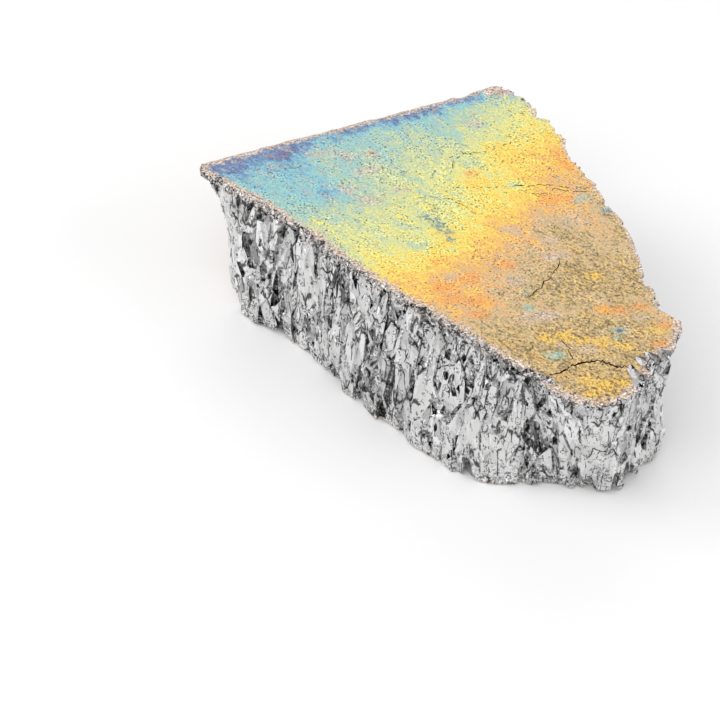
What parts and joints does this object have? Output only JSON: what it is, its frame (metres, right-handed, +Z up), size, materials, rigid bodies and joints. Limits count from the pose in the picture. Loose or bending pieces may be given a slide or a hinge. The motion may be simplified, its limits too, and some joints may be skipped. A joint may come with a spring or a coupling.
{
  "type": "bismuth metal chunk",
  "caption": "Broken chunk of cast bismuth: a flat iridescent cast top with a rounded lip, a leaning cast side wall, and steep broken faces of silvery columnar grains.",
  "frame": {"origin": "under the middle of the chunk's bounding box, on the plane that it rests on", "axes": "+X along the long broken face, towards the chunk's blunt end; +Y from the long broken face to the back; +Z up, out of the iridescent cast top"},
  "size_m": [0.101, 0.0654, 0.03],
  "materials": {
    "bismuth": "bright broken crystalline metal, with an iridescent oxide skin on the cast faces"
  },
  "bodies": {
    "root": {"bismuth_chunk": "bismuth"}
  },
  "joints": []
}
